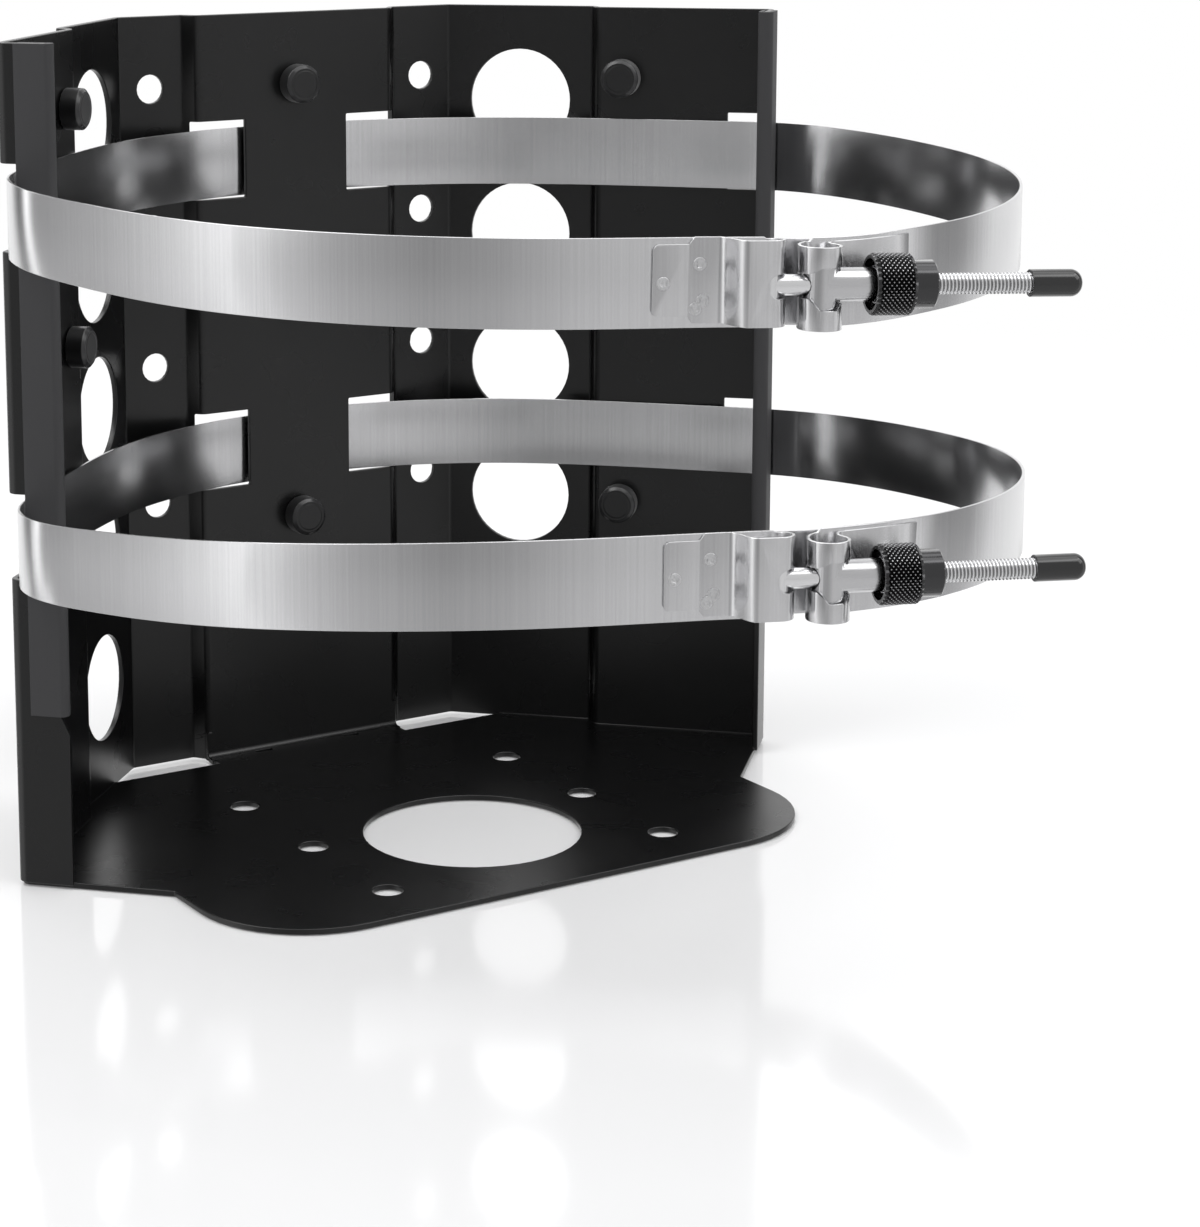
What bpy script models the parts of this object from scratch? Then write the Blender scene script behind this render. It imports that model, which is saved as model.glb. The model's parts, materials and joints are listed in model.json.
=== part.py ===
# Gas cylinder bracket
# A folded steel back with rubber bumpers, and two stainless T-bolt bands that
# strap a steel gas cylinder against it.
# Origin: the foot of the held cylinder's axis, on the plane the bracket stands on.
# +Z is up, +Y is the wall side, +X is the right-hand wing seen from the open front.

import math

import bmesh
import bpy
import numpy as np
from mathutils import Matrix, Vector

for old in list(bpy.data.objects):
    bpy.data.objects.remove(old, do_unlink=True)

# Held cylinder and the sheet that cradles it
CYLINDER_RADIUS = 0.1143
BUMPER_HEIGHT = 0.0055
SHEET = 0.0015
SHELL_HEIGHT = 0.2090
WALL_FOOT = 0.0008
BEND_RADIUS = 0.0020
WING_ANGLE = math.radians(45.0)

# Plan of the folded back, from the middle outwards
PANEL_HALF = 0.0302
JOGGLE_RUN = 0.0029
JOGGLE_DEPTH = 0.0040
WING_JOGGLE_RUN = 0.0019
WING_JOGGLE_DEPTH = 0.0042
JOGGLE_TO_BUMPER = 0.0074
BUMPER_TO_CORNER = 0.0410
FLANGE_WIDTH = 0.0133
FLANGE_NECK = 0.0112
NECK_FOOT = 0.0395
NECK_SLOPE = 0.0045

# Round holes in the back
HOLE_PITCH = 0.0381
SCREW_HOLE_RADIUS = 0.0039
SCREW_HOLE_DROP = 0.0196
SCREW_HOLE_ROWS = 4
LIGHT_HOLE_RADIUS = 0.0143
LIGHT_HOLE_DROP = 0.0266
LIGHT_HOLE_ROWS_LEFT = 5
LIGHT_HOLE_ROWS_RIGHT = 4

# Base plate
BASE_HALF = 0.0863
BASE_FRONT = -0.0168
BASE_CORNER_RADIUS = 0.0300
BASE_GAP = 0.0064
BASE_HOLE_RADIUS = 0.0284
BASE_HOLE_Y = 0.0280
BASE_SCREW_X = 0.0413
BASE_SCREW_Y = 0.0767
BASE_SCREW_ROWS = 3
WEEP_X = 0.0140
WEEP_LENGTH = 0.0050
WEEP_WIDTH = 0.0018

# Band slots
SLOT_HEIGHT = 0.0213
SLOT_DROP = 0.0395
SLOT_PITCH = 0.0807
SLOT_INNER_X = 0.0158
WING_SLOT = 0.0112
FLANGE_SLOT = 0.0041

# Rubber pieces
BUMPER_RADIUS = 0.0053
BUMPER_FACE_RADIUS = 0.0041
BUMPER_STEM_RADIUS = 0.0024
BUMPER_BULB_RADIUS = 0.0032
BUMPER_BULB_LENGTH = 0.0022
BUMPER_DROP = 0.0196
BUMPER_PITCH = 0.0607
BUMPER_ROWS = 3
TRIM_WALL = 0.0011
TRIM_DEPTH = 0.0094
TRIM_FOOT = 0.0444

# Bands
STRAP = 0.0007
STRAP_WIDTH = 0.0188
HEAD_LOOP_WIDTH = 0.0180
PIN_LOOP_WIDTH = 0.0174
TAB_WIDTH = 0.0150
TAB_CORNER = 0.0013
TAB_STEP = 0.0162
TAB_STEP_RUN = 0.0012
TAB_END = 0.0238
TAB_RISE = 0.0006
RAMP_START = 0.0098
RAMP_RUN = 0.0050
LAYER_GAP = 0.00015
OUTER_TAIL = 0.0197
TONGUE = 0.0005
TONGUE_WIDTH = 0.0180
TONGUE_LEFT = 0.0200
TONGUE_RIGHT = 0.0255
STRAP_DROP = 0.0009
BAND_BEHIND = 0.0012
BAND_ASIDE = 0.0022

# Clamp, measured along the bolt from the middle of its T-head
CLAMP_ANGLE = math.radians(-99.07)
CLAMP_HEADING = math.radians(-21.5)
CLAMP_SLACK = 0.0081
BOLT_STANDOFF = 0.0042
HEAD_RADIUS = 0.0025
HEAD_LENGTH = 0.0140
HEAD_SLOT_START = 0.0008
BOLT_RADIUS = 0.00226
BOLT_LENGTH = 0.0644
TRUNNION_AT = 0.0110
TRUNNION_RADIUS = 0.0036
TRUNNION_LENGTH = 0.0130
SLEEVE_RADIUS = 0.0036
SLEEVE_END = 0.0232
NECK_TURN = math.radians(32.0)
PIN_SET_BACK = 0.0022
PIN_SAG = 0.0005
PIN_LEAN = math.radians(12.0)
PIN_STRAIGHT = 0.0064
WINDOW_FOOT = 0.0009
NUT_AT = 0.0217
NUT_LENGTH = 0.0084
NUT_RADIUS = 0.0067
NUT_RECESS_RADIUS = 0.0054
NUT_RECESS_DEPTH = 0.0033
COLLAR_LENGTH = 0.0050
COLLAR_RADIUS = 0.0051
WASHER_RADIUS = 0.0050
WASHER_LENGTH = 0.0011
CAP_AT = 0.0562
CAP_LENGTH = 0.0113
CAP_RADIUS = 0.0029

# Clearances
FIT = 0.0003
CAP_FIT = 0.00015
STRAP_CLEARANCE = 0.0006

# Facets
ROUND_SMALL = 20
ROUND_MEDIUM = 32
ROUND_LARGE = 48

# Sizes that follow from the ones above
PANEL_Y = CYLINDER_RADIUS + BUMPER_HEIGHT
WING_BACK = PANEL_Y + WING_JOGGLE_DEPTH
SCREW_FACE_Y = PANEL_Y + JOGGLE_DEPTH
SLOT_UPPER_Z = SHELL_HEIGHT - SLOT_DROP
SLOT_LOWER_Z = SLOT_UPPER_Z - SLOT_PITCH
WING_DIR = Vector((math.cos(WING_ANGLE), -math.sin(WING_ANGLE)))
WING_OUT = Vector((math.sin(WING_ANGLE), math.cos(WING_ANGLE)))


def wing_point(along, out):
    """Plan point on the right wing, from the foot of the bumpers and the axis."""
    return WING_DIR * along + WING_OUT * out


def material(name, colour, roughness, metallic):
    mat = bpy.data.materials.new(name)
    mat.use_nodes = True
    shader = mat.node_tree.nodes["Principled BSDF"]
    shader.inputs["Base Color"].default_value = (*colour, 1.0)
    shader.inputs["Roughness"].default_value = roughness
    shader.inputs["Metallic"].default_value = metallic
    return mat


def add_object(name, bm, mat, smooth_angle=None):
    """Close a bmesh into a named object with outward faces."""
    bmesh.ops.recalc_face_normals(bm, faces=bm.faces)
    mesh = bpy.data.meshes.new(name)
    bm.to_mesh(mesh)
    bm.free()
    obj = bpy.data.objects.new(name, mesh)
    bpy.context.scene.collection.objects.link(obj)
    if mat:
        mesh.materials.append(mat)
    if smooth_angle:
        mesh.shade_smooth()
        mesh.set_sharp_from_angle(angle=math.radians(smooth_angle))
    return obj


def add_cutter(name, bm):
    cutter = add_object(name, bm, None)
    cutter.hide_render = True
    cutter.display_type = "WIRE"
    return cutter


def combine(obj, other, operation):
    step = obj.modifiers.new(other.name, "BOOLEAN")
    step.operation = operation
    step.object = other
    step.solver = "EXACT"


def extrude_outline(bm, outline, low, high):
    """Prism over a plan outline, between two heights."""
    verts = [bm.verts.new((x, y, low)) for x, y in outline]
    face = bm.faces.new(verts)
    grown = bmesh.ops.extrude_face_region(bm, geom=[face])
    moved = [v for v in grown["geom"] if isinstance(v, bmesh.types.BMVert)]
    bmesh.ops.translate(bm, vec=(0, 0, high - low), verts=moved)


def add_rod(bm, centre, axis, radius, length, facets):
    """Closed cylinder with its middle at a point and its length along an axis."""
    turn = Vector((0, 0, 1)).rotation_difference(Vector(axis)).to_matrix().to_4x4()
    bmesh.ops.create_cone(bm, cap_ends=True, segments=facets, radius1=radius,
                          radius2=radius, depth=length,
                          matrix=Matrix.Translation(centre) @ turn)


def add_box(bm, frame, low, high):
    """Closed box between two corners of a local frame."""
    low, high = Vector(low), Vector(high)
    size = high - low
    place = Matrix.Translation((low + high) / 2) @ Matrix.Diagonal((*size, 1.0))
    bmesh.ops.create_cube(bm, size=1.0, matrix=frame @ place)


def turned(name, profile, facets, mat, smooth_angle=35):
    """Solid of revolution about its own Z from a closed (radius, height) profile."""
    bm = bmesh.new()
    verts = [bm.verts.new((r, 0.0, z)) for r, z in profile]
    edges = [bm.edges.new((a, b)) for a, b in zip(verts, verts[1:] + verts[:1])]
    on_axis = [e for e in edges if max(v.co.x for v in e.verts) < 1e-9]
    bmesh.ops.delete(bm, geom=on_axis, context="EDGES_FACES")
    edges = [e for e in edges if e.is_valid]
    bmesh.ops.spin(bm, geom=bm.verts[:] + edges, cent=(0, 0, 0), axis=(0, 0, 1),
                   angle=2 * math.pi, steps=facets, use_merge=True)
    bmesh.ops.remove_doubles(bm, verts=bm.verts, dist=1e-7)
    return add_object(name, bm, mat, smooth_angle)


def offset_line(points, distance):
    """Parallel of an open plan line, on its left for a positive distance."""
    lines = []
    for a, b in zip(points, points[1:]):
        run = (b - a).normalized()
        side = Vector((-run.y, run.x)) * distance
        lines.append((a + side, b + side))
    result = [lines[0][0]]
    for (a, b), (c, d) in zip(lines, lines[1:]):
        first, second = b - a, d - c
        cross = first.x * second.y - first.y * second.x
        t = ((c - a).x * second.y - (c - a).y * second.x) / cross
        result.append(a + first * t)
    result.append(lines[-1][1])
    return result


def bent_line(points, radius, steps=5):
    """Open plan line with its corners bent, as (point, left normal) pairs."""
    result = [(points[0], None)]
    for a, b, c in zip(points, points[1:], points[2:]):
        into, out = (b - a).normalized(), (c - b).normalized()
        turn = math.atan2(into.x * out.y - into.y * out.x, into.dot(out))
        reach = radius * math.tan(abs(turn) / 2)
        start = b - into * reach
        side = math.copysign(1.0, turn)
        centre = start + Vector((-into.y, into.x)) * radius * side
        for k in range(steps + 1):
            angle = turn * k / steps
            spoke = (start - centre)
            spoke.rotate(Matrix.Rotation(angle, 2))
            result.append((centre + spoke, spoke.normalized() * -side))
    result.append((points[-1], None))
    first = (points[1] - points[0]).normalized()
    last = (points[-1] - points[-2]).normalized()
    result[0] = (points[0], Vector((-first.y, first.x)))
    result[-1] = (points[-1], Vector((-last.y, last.x)))
    return result


def mirrored(points):
    return [Vector((-p.x, p.y)) for p in points]


# Front face of the right half of the back, from the middle outwards
BEND_X = (WING_BACK - SCREW_FACE_Y * WING_OUT.y) / WING_OUT.x
BEND_ALONG = Vector((BEND_X, SCREW_FACE_Y)).dot(WING_DIR)
WING_JOGGLE_IN = -JOGGLE_TO_BUMPER
WING_JOGGLE_OUT = WING_JOGGLE_IN - WING_JOGGLE_RUN
FRONT_FACE = [
    Vector((PANEL_HALF, PANEL_Y)),
    Vector((PANEL_HALF + JOGGLE_RUN, SCREW_FACE_Y)),
    Vector((BEND_X, SCREW_FACE_Y)),
    wing_point(WING_JOGGLE_OUT, WING_BACK),
    wing_point(WING_JOGGLE_IN, PANEL_Y),
    wing_point(BUMPER_TO_CORNER, PANEL_Y),
    wing_point(BUMPER_TO_CORNER, PANEL_Y - FLANGE_WIDTH),
]
WALL_LINE = offset_line(mirrored(FRONT_FACE[::-1]) + FRONT_FACE, SHEET / 2)
SCREW_HOLE_X = (PANEL_HALF + JOGGLE_RUN + BEND_X) / 2
LIGHT_HOLE_ALONG = (BEND_ALONG + WING_JOGGLE_OUT) / 2
SLOT_OUTER_X = PANEL_HALF + JOGGLE_RUN / 2
SLOT_ROWS = (SLOT_UPPER_Z, SLOT_LOWER_Z)


def wing_frame(side):
    """Local axes on a wing: along it, out from the cylinder, and up."""
    along = Vector((side * WING_DIR.x, WING_DIR.y, 0))
    out = Vector((side * WING_OUT.x, WING_OUT.y, 0))
    return Matrix((along, out, (0, 0, 1))).transposed().to_4x4()


def bumper_heights():
    top = SHELL_HEIGHT - BUMPER_DROP
    return [top - row * BUMPER_PITCH for row in range(BUMPER_ROWS)]


def back_wall():
    """Sheet wall: the bent plan line given its thickness and drawn up."""
    line = bent_line(WALL_LINE, BEND_RADIUS)
    near = [p - n * SHEET / 2 for p, n in line]
    far = [p + n * SHEET / 2 for p, n in line]
    bm = bmesh.new()
    extrude_outline(bm, near + far[::-1], WALL_FOOT, SHELL_HEIGHT)
    return bm


def round_hole_cutter():
    """Every round hole of the back: screw, lightening and bumper stem holes."""
    bm = bmesh.new()
    reach = 8 * SHEET
    screw_top = SHELL_HEIGHT - SCREW_HOLE_DROP
    light_top = SHELL_HEIGHT - LIGHT_HOLE_DROP
    for side in (-1, 1):
        frame = wing_frame(side)
        out = frame.col[1].to_3d()
        for row in range(SCREW_HOLE_ROWS):
            at = (side * SCREW_HOLE_X, SCREW_FACE_Y, screw_top - row * HOLE_PITCH)
            add_rod(bm, at, (0, 1, 0), SCREW_HOLE_RADIUS, reach, ROUND_SMALL)
        rows = LIGHT_HOLE_ROWS_LEFT if side < 0 else LIGHT_HOLE_ROWS_RIGHT
        for row in range(rows):
            at = frame @ Vector((LIGHT_HOLE_ALONG, WING_BACK, light_top - row * HOLE_PITCH))
            add_rod(bm, at, out, LIGHT_HOLE_RADIUS, reach, ROUND_LARGE)
        for height in bumper_heights():
            at = frame @ Vector((0, PANEL_Y, height))
            add_rod(bm, at, out, BUMPER_STEM_RADIUS + FIT, reach, ROUND_SMALL)
    for height in bumper_heights():
        at = (0, PANEL_Y, height)
        add_rod(bm, at, (0, 1, 0), BUMPER_STEM_RADIUS + FIT, reach, ROUND_SMALL)
    return add_cutter("round_hole_cutter", bm)


def slot_cutter():
    """Band slots: beside the centre panel and round each outer corner."""
    bm = bmesh.new()
    for z in SLOT_ROWS:
        low, high = z - SLOT_HEIGHT / 2, z + SLOT_HEIGHT / 2
        for side in (-1, 1):
            near, far = sorted((side * SLOT_INNER_X, side * SLOT_OUTER_X))
            add_box(bm, Matrix.Identity(4), (near, PANEL_Y - 4 * SHEET, low),
                    (far, PANEL_Y + JOGGLE_DEPTH + 4 * SHEET, high))
            add_box(bm, wing_frame(side),
                    (BUMPER_TO_CORNER - WING_SLOT, PANEL_Y - FLANGE_SLOT, low),
                    (BUMPER_TO_CORNER + 3 * SHEET, PANEL_Y + 4 * SHEET, high))
    return add_cutter("slot_cutter", bm)


def neck_cutter():
    """Sets the flange's free edge back where the rubber trim sits on it."""
    bm = bmesh.new()
    edge = PANEL_Y - FLANGE_NECK
    tip = PANEL_Y - FLANGE_WIDTH - SHEET
    slope = NECK_SLOPE / (FLANGE_WIDTH - FLANGE_NECK)
    for side in (-1, 1):
        frame = wing_frame(side)
        foot = NECK_FOOT - slope * SHEET
        section = [(edge, NECK_FOOT + NECK_SLOPE), (tip, foot),
                   (tip, SHELL_HEIGHT + SHEET), (edge, SHELL_HEIGHT + SHEET)]
        rings = []
        for along in (BUMPER_TO_CORNER - 3 * SHEET, BUMPER_TO_CORNER + 3 * SHEET):
            rings.append([bm.verts.new(frame @ Vector((along, out, z))) for out, z in section])
        bm.faces.new(rings[0])
        bm.faces.new(rings[1][::-1])
        for k in range(4):
            bm.faces.new((rings[0][k - 1], rings[0][k], rings[1][k], rings[1][k - 1]))
    return add_cutter("neck_cutter", bm)


def foot_cutter():
    """Clears the foot of the centre panel, where the fold to the base replaces it."""
    bm = bmesh.new()
    top = 2 * (SHEET + BEND_RADIUS)
    add_box(bm, Matrix.Identity(4), (-PANEL_HALF, PANEL_Y - SHEET, -SHEET),
            (PANEL_HALF, PANEL_Y + 1.5 * SHEET, top))
    return add_cutter("foot_cutter", bm)


def base_outline():
    """Right half of the base plate, from the fold to the middle of the front."""
    gap_y = PANEL_Y - BASE_GAP
    wall = [p for p, n in bent_line(WALL_LINE, BEND_RADIUS)]
    wall = [p for p in wall[len(wall) // 2:] if p.y < gap_y and p.x > PANEL_HALF]
    mid_out = WING_BACK + SHEET / 2
    gap_x = (mid_out - gap_y * WING_OUT.y) / WING_OUT.x
    points = [Vector((PANEL_HALF - FIT, PANEL_Y)), Vector((PANEL_HALF - FIT, gap_y)),
              Vector((gap_x, gap_y))] + wall[:-1]
    end = wing_point(BUMPER_TO_CORNER + SHEET / 2, PANEL_Y - FLANGE_WIDTH + FIT)
    drop = (end.x - BASE_HALF) / WING_OUT.x
    points += [end, end - WING_OUT * drop]
    centre = Vector((BASE_HALF - BASE_CORNER_RADIUS, BASE_FRONT + BASE_CORNER_RADIUS))
    for k in range(13):
        angle = -k / 12 * math.pi / 2
        spoke = Vector((math.cos(angle), math.sin(angle))) * BASE_CORNER_RADIUS
        points.append(centre + spoke)
    return points


def base_plate():
    half = base_outline()
    bm = bmesh.new()
    extrude_outline(bm, half + mirrored(half[::-1]), 0.0, SHEET)
    return add_cutter("base_plate", bm)


def base_hole_cutter():
    """Lightening hole, six screw holes and the two weep slots on the fold."""
    bm = bmesh.new()
    tall = 10 * SHEET
    add_rod(bm, (0, BASE_HOLE_Y, 0), (0, 0, 1), BASE_HOLE_RADIUS, tall, ROUND_LARGE)
    for side in (-1, 1):
        for row in range(BASE_SCREW_ROWS):
            at = (side * BASE_SCREW_X, BASE_SCREW_Y - row * HOLE_PITCH, 0)
            add_rod(bm, at, (0, 0, 1), SCREW_HOLE_RADIUS, tall, ROUND_SMALL)
        weep_y = PANEL_Y - BEND_RADIUS + SHEET / 2
        middle = side * WEEP_X
        add_box(bm, Matrix.Identity(4),
                (middle - WEEP_LENGTH / 2, weep_y - WEEP_WIDTH, -SHEET),
                (middle + WEEP_LENGTH / 2, weep_y, 2 * SHEET))
    return add_cutter("base_hole_cutter", bm)


def base_fold():
    """Quarter bend that joins the centre panel to the base plate."""
    inner = BEND_RADIUS - SHEET / 2
    outer = BEND_RADIUS + SHEET / 2
    top = 2 * (SHEET + BEND_RADIUS) + SHEET
    y0, z0 = PANEL_Y - inner, SHEET + inner
    section = [(PANEL_Y, top)]
    for k in range(7):
        angle = -k / 6 * math.pi / 2
        section.append((y0 + inner * math.cos(angle), z0 + inner * math.sin(angle)))
    section += [(y0 - SHEET, SHEET), (y0 - SHEET, 0.0)]
    for k in range(7):
        angle = -(6 - k) / 6 * math.pi / 2
        section.append((y0 + outer * math.cos(angle), z0 + outer * math.sin(angle)))
    section.append((PANEL_Y + SHEET, top))
    bm = bmesh.new()
    reach = PANEL_HALF + FIT
    rings = []
    for x in (-reach, reach):
        rings.append([bm.verts.new((x, y, z)) for y, z in section])
    bm.faces.new(rings[0])
    bm.faces.new(rings[1][::-1])
    for k in range(len(section)):
        bm.faces.new((rings[0][k - 1], rings[0][k], rings[1][k], rings[1][k - 1]))
    return add_cutter("base_fold", bm)


def make_shell(mat):
    """The folded back and base: one sheet, bent, pierced and welded at the wings."""
    shell = add_object("bracket_shell", back_wall(), mat, 30)
    combine(shell, foot_cutter(), "DIFFERENCE")
    combine(shell, slot_cutter(), "DIFFERENCE")
    combine(shell, round_hole_cutter(), "DIFFERENCE")
    combine(shell, neck_cutter(), "DIFFERENCE")
    combine(shell, base_plate(), "UNION")
    combine(shell, base_fold(), "UNION")
    combine(shell, base_hole_cutter(), "DIFFERENCE")


def bumper_profile():
    """Half section of a push-in bumper: pad, stem through the sheet, bulb."""
    face = BUMPER_HEIGHT
    edge = BUMPER_RADIUS - BUMPER_FACE_RADIUS
    seat = FIT
    bulb = -(SHEET + FIT)
    return [
        (0.0, face), (BUMPER_FACE_RADIUS, face),
        (BUMPER_FACE_RADIUS + edge * 0.7, face - edge * 0.3),
        (BUMPER_RADIUS, face - edge), (BUMPER_RADIUS, seat),
        (BUMPER_STEM_RADIUS, seat), (BUMPER_STEM_RADIUS, bulb),
        (BUMPER_BULB_RADIUS, bulb), (BUMPER_BULB_RADIUS, bulb - BUMPER_BULB_LENGTH / 3),
        (BUMPER_STEM_RADIUS / 2, bulb - BUMPER_BULB_LENGTH), (0.0, bulb - BUMPER_BULB_LENGTH),
    ]


def make_bumpers(mat):
    """Three columns of bumpers, all pointing at the cylinder's axis."""
    shared = None
    heights = dict(zip(("top", "middle", "bottom"), bumper_heights()))
    columns = {"left": math.pi / 2 + WING_ANGLE, "center": math.pi / 2,
               "right": math.pi / 2 - WING_ANGLE}
    for column, angle in columns.items():
        out = Vector((math.cos(angle), math.sin(angle), 0))
        turn = Vector((0, 0, 1)).rotation_difference(-out).to_matrix().to_4x4()
        for row, height in heights.items():
            name = "bumper_%s_%s" % (column, row)
            if shared is None:
                obj = turned(name, bumper_profile(), ROUND_SMALL, mat)
                shared = obj.data
            else:
                obj = bpy.data.objects.new(name, shared)
                bpy.context.scene.collection.objects.link(obj)
            place = Vector((0, 0, height)) + out * PANEL_Y
            obj.matrix_world = Matrix.Translation(place) @ turn


def make_trims(mat):
    """Rubber U-section pushed over the free edge of each flange."""
    nose = PANEL_Y - FLANGE_WIDTH
    mouth = nose + TRIM_DEPTH
    inside = PANEL_Y - FLANGE_NECK - FIT
    slit = SHEET / 2 + FIT * 0.85
    half = slit + TRIM_WALL
    middle = BUMPER_TO_CORNER + SHEET / 2
    for side, word in ((-1, "left"), (1, "right")):
        outer = [(half, mouth)]
        for k in range(9):
            angle = -k / 8 * math.pi
            outer.append((half * math.cos(angle), nose + half * 0.8 + half * 0.8 * math.sin(angle)))
        outer += [(-half, mouth), (-slit, mouth), (-slit, inside), (slit, inside), (slit, mouth)]
        frame = wing_frame(side)
        section = [(frame @ Vector((middle + along, out, 0))).to_2d() for along, out in outer]
        bm = bmesh.new()
        extrude_outline(bm, section, TRIM_FOOT, SHELL_HEIGHT)
        add_object("edge_trim_" + word, bm, mat, 40)


def spline(points, start, end, step):
    """Cubic curve through points with set end directions, sampled evenly."""
    p = np.array([list(q) for q in points])
    chord = np.linalg.norm(np.diff(p, axis=0), axis=1)
    count = len(p)
    system = np.zeros((count, count))
    right = np.zeros((count, p.shape[1]))
    system[0, 0] = system[-1, -1] = 1.0
    right[0], right[-1] = list(start), list(end)
    for k in range(1, count - 1):
        a, b = chord[k - 1], chord[k]
        system[k, k - 1], system[k, k], system[k, k + 1] = b, 2 * (a + b), a
        right[k] = 3 * (b * (p[k] - p[k - 1]) / a + a * (p[k + 1] - p[k]) / b)
    slope = np.linalg.solve(system, right)
    result = []
    for k in range(count - 1):
        pieces = max(1, round(chord[k] / step))
        for t in np.arange(pieces) / pieces:
            h = chord[k]
            value = ((1 + 2 * t) * (1 - t) ** 2 * p[k] + t * (1 - t) ** 2 * h * slope[k]
                     + t * t * (3 - 2 * t) * p[k + 1] - t * t * (1 - t) * h * slope[k + 1])
            result.append(Vector(value))
    result.append(Vector(p[-1]))
    return result


# How far the relaxed band stands off the cylinder, by the angle from +X
RIGHT_SLACK = ((21, 0.0114), (14.5, 0.0110), (7, 0.0096), (-1, 0.0080), (-12, 0.0067),
               (-32, 0.0045), (-46, 0.0038), (-61, 0.0050), (-70.5, 0.0068), (-80, 0.0091))
LEFT_SLACK = ((-119, 0.0068), (-139, 0.0094), (-158, 0.0091), (-178, 0.0079),
              (-187, 0.0096), (-194.5, 0.0110), (-201, 0.0114))


class Clamp:
    """One band's height rule and the local frame of its clamp."""

    def __init__(self, slot_z, rise, roll, sway):
        self.height = slot_z - STRAP_DROP
        self.rise = rise
        self.roll = roll
        self.sway = sway
        radius = CYLINDER_RADIUS + CLAMP_SLACK
        foot = Vector((math.cos(CLAMP_ANGLE), math.sin(CLAMP_ANGLE))) * radius
        ahead = foot + Vector((math.cos(CLAMP_HEADING), math.sin(CLAMP_HEADING))) * TRUNNION_AT
        low, high = self.lift(foot), self.lift(ahead)
        self.along = (high - low).normalized()
        self.out = Vector((math.sin(CLAMP_HEADING), -math.cos(CLAMP_HEADING), 0))
        self.up = self.out.cross(self.along) * -1
        if self.up.z < 0:
            self.up = -self.up
        self.foot = low
        self.frame = Matrix((self.along, self.out, self.up)).transposed().to_4x4()
        self.frame.translation = low

    def lift(self, plan):
        """Space point of the band over a plan point: its front hangs loose."""
        slot_y = wing_point(BUMPER_TO_CORNER, PANEL_Y).y
        front_y = -CYLINDER_RADIUS - CLAMP_SLACK
        u = max(0.0, (slot_y - plan.y) / (slot_y - front_y))
        share = 1.12 * u * u / (u + 0.12)
        z = self.height + self.rise * share + self.roll * plan.x * share
        return Vector((plan.x + self.sway * u * (2 - u), plan.y, z))

    def at(self, along, out=0.0, up=0.0):
        return self.frame @ Vector((along, out, up))


def band_plan(side):
    """Plan points of one half of the band, from behind the panel forwards."""
    hug = PANEL_Y - STRAP_CLEARANCE - STRAP / 2
    behind = PANEL_Y + SHEET + STRAP / 2
    points = [
        Vector((SLOT_INNER_X, behind + STRAP_CLEARANCE)),
        Vector((SLOT_OUTER_X, hug - STRAP_CLEARANCE / 2)),
        wing_point((BEND_ALONG + WING_JOGGLE_OUT) / 2 - JOGGLE_DEPTH, hug - JOGGLE_DEPTH * 0.7),
        wing_point(WING_JOGGLE_IN + JOGGLE_DEPTH, hug),
        wing_point(BUMPER_TO_CORNER * 0.34, hug - STRAP_CLEARANCE / 4),
        wing_point(BUMPER_TO_CORNER * 0.68, hug - STRAP_CLEARANCE),
        wing_point(BUMPER_TO_CORNER, PANEL_Y - BAND_ASIDE),
    ]
    table = RIGHT_SLACK if side > 0 else LEFT_SLACK[::-1]
    if side < 0:
        points = mirrored(points)
    for degrees, slack in table:
        angle = math.radians(degrees)
        points.append(Vector((math.cos(angle), math.sin(angle))) * (CYLINDER_RADIUS + slack))
    return points


def pin_foot(clamp, back=0.0):
    """Point of the inner layer under the trunnion, or farther back along it."""
    return clamp.at(TRUNNION_AT + back * math.cos(PIN_LEAN),
                    -PIN_SET_BACK - back * math.sin(PIN_LEAN), -PIN_SAG)


def band_line(clamp):
    """Inner layer of the strap, from the T-head loop round to the trunnion loop."""
    back = Vector((0, PANEL_Y + SHEET + BAND_BEHIND + STRAP / 2))
    plan = band_plan(-1)[::-1] + [back] + band_plan(1)
    points = [clamp.at(0.0), clamp.at(-RAMP_START)] + [clamp.lift(p) for p in plan]
    points += [pin_foot(clamp, PIN_STRAIGHT), pin_foot(clamp)]
    arrive = (points[-1] - points[-2]).normalized()
    return spline(points, -clamp.along, arrive, 0.005)


def travelled(line):
    total, result = 0.0, [0.0]
    for a, b in zip(line, line[1:]):
        total += (b - a).length
        result.append(total)
    return result


def stretch(line, start, end, shift):
    """Part of a line by distance, moved sideways across its own upright face."""
    marks = travelled(line)
    marks_in = [m for m in marks if start + 1e-5 < m < end - 1e-5]
    result = []
    for mark in [start] + marks_in + [end]:
        k = max(1, next((i for i, m in enumerate(marks) if m >= mark), len(marks) - 1))
        a, b = line[k - 1], line[k]
        point = a.lerp(b, (mark - marks[k - 1]) / (marks[k] - marks[k - 1]))
        lo, hi = line[max(0, k - 2)], line[min(len(line) - 1, k + 1)]
        run = (hi - lo).normalized()
        side = Vector((run.y, -run.x, 0)).normalized()
        result.append(point + side * shift)
    return result


def bezier(corners, count):
    """Points on a cubic curve from its four corner points, without the first."""
    result = []
    for k in range(1, count + 1):
        t = k / count
        weights = ((1 - t) ** 3, 3 * t * (1 - t) ** 2, 3 * t * t * (1 - t), t ** 3)
        result.append(tuple(sum(w * c[i] for w, c in zip(weights, corners)) for i in (0, 1)))
    return result


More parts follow.
